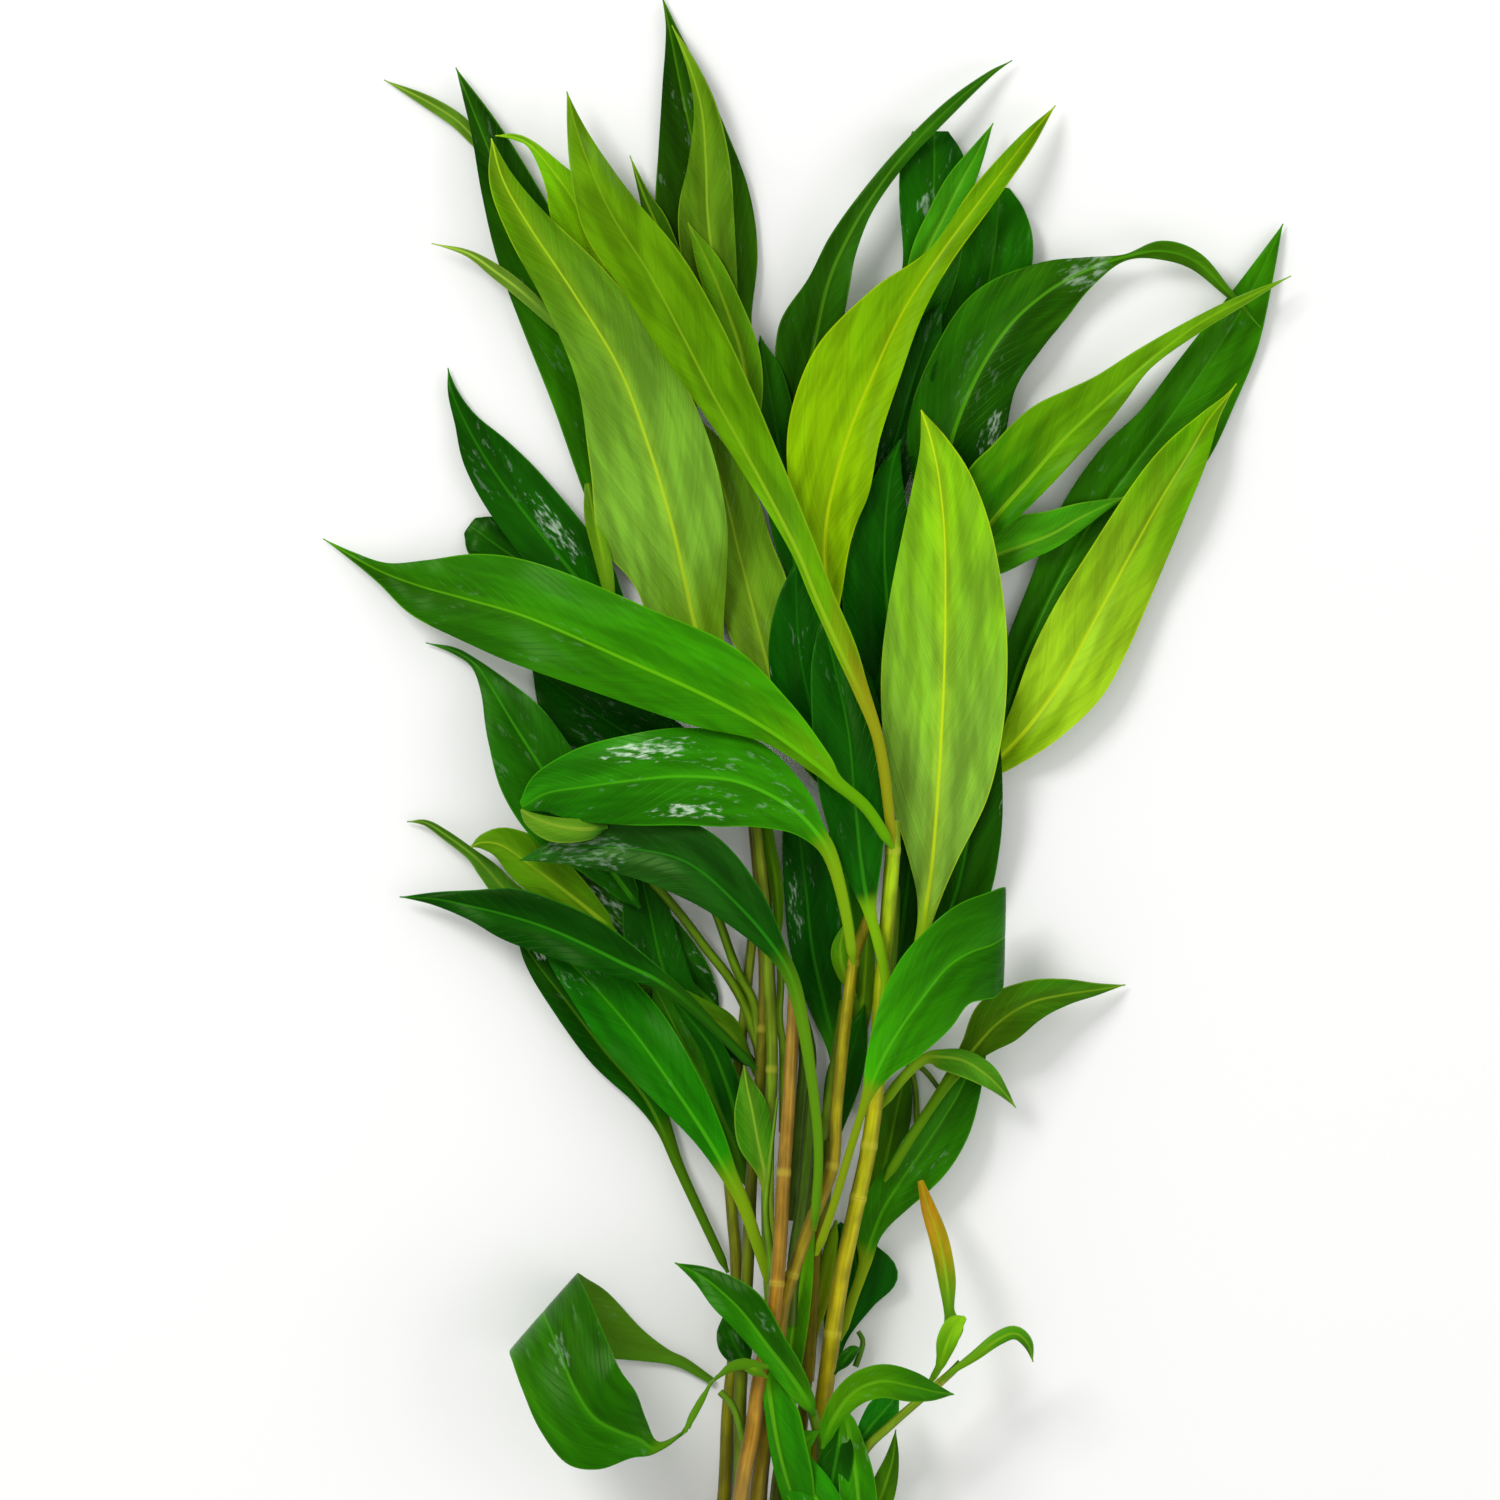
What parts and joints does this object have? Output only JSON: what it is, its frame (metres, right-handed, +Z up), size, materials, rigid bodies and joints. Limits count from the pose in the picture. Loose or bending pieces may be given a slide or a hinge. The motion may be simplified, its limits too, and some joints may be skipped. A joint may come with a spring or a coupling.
{
  "type": "cut temple plant bunch",
  "caption": "Bunch of cut aquarium plant stems with glossy lance-shaped leaves, lying flat on a surface.",
  "frame": {"origin": "on the surface that the bunch lies on, under the middle of its box", "axes": "+Y along the bunch from the cut ends to the leaf tips, +Z up from the surface, +X to the right when seen from above"},
  "size_m": [0.2425, 0.4254, 0.0369],
  "materials": {
    "dark_leaf": "living leaf, glossy dark green upper side with a lighter midrib",
    "bright_leaf": "living leaf, satin yellow green upper side with a pale midrib",
    "leaf_underside": "living leaf, satin pale green with curved side veins and a raised pale midrib",
    "green_stem": "living stem, smooth yellow green with pale rings at the nodes",
    "tan_stem": "living stem, smooth tan to olive with darker rings at the nodes"
  },
  "bodies": {
    "root": {"leaf_back_low_left": "bright_leaf", "leaf_bright_curled_left": "bright_leaf", "leaf_bright_low_left": "bright_leaf", "leaf_bright_right": "bright_leaf", "leaf_broad_dark_back_right": "dark_leaf", "leaf_broad_dark_right": "dark_leaf", "leaf_broad_dark_top_left": "dark_leaf", "leaf_dark_behind_centre": "dark_leaf", "leaf_dark_broad_right": "dark_leaf", "leaf_dark_folded_behind_low": "dark_leaf", "leaf_dark_folded_left": "dark_leaf", "leaf_dark_left": "dark_leaf", "leaf_dark_low_right": "dark_leaf", "leaf_dark_pointed_low_left": "dark_leaf", "leaf_dark_right_middle": "dark_leaf", "leaf_dark_top_centre": "dark_leaf", "leaf_dark_upright_centre": "dark_leaf", "leaf_dark_upright_left": "dark_leaf", "leaf_glossy_strip_centre": "bright_leaf", "leaf_glossy_top_centre": "bright_leaf", "leaf_grey_sheen_left": "dark_leaf", "leaf_hanging_glossy_centre": "dark_leaf", "leaf_large_central": "leaf_underside", "leaf_large_crossing": "dark_leaf", "leaf_large_pale_left": "leaf_underside", "leaf_light_pointed_right": "bright_leaf", "leaf_long_bright_centre": "bright_leaf", "leaf_long_hanging_right": "dark_leaf", "leaf_long_narrow_top_right": "bright_leaf", "leaf_looped": "bright_leaf", "leaf_low_arched_right": "bright_leaf", "leaf_low_centre": "bright_leaf", "leaf_low_left_tip": "bright_leaf", "leaf_low_right": "bright_leaf", "leaf_lower_pale_left": "leaf_underside", "leaf_narrow_top_right": "bright_leaf", "leaf_olive_left": "bright_leaf", "leaf_olive_low_left": "bright_leaf", "leaf_olive_pointed_right": "bright_leaf", "leaf_pale_small_low": "leaf_underside", "leaf_round_top_right": "dark_leaf", "leaf_small_arched": "bright_leaf", "leaf_small_folded_right": "bright_leaf", "leaf_small_pointed_right": "bright_leaf", "leaf_small_round_left": "dark_leaf", "leaf_speckled_crossing": "dark_leaf", "leaf_spike_top_centre": "bright_leaf", "leaf_thin_curled_left": "bright_leaf", "leaf_thin_hanging": "dark_leaf", "leaf_thin_pale_top_left": "leaf_underside", "leaf_twisted_dark_right": "dark_leaf", "leaf_yellow_green_right": "bright_leaf", "stem_centre": "green_stem", "stem_front_tan": "tan_stem", "stem_left": "tan_stem", "stem_left_inner": "tan_stem", "stem_middle": "green_stem", "stem_right_yellow": "green_stem", "stem_short_cut": "green_stem", "stem_side_thin": "green_stem"}
  },
  "joints": []
}
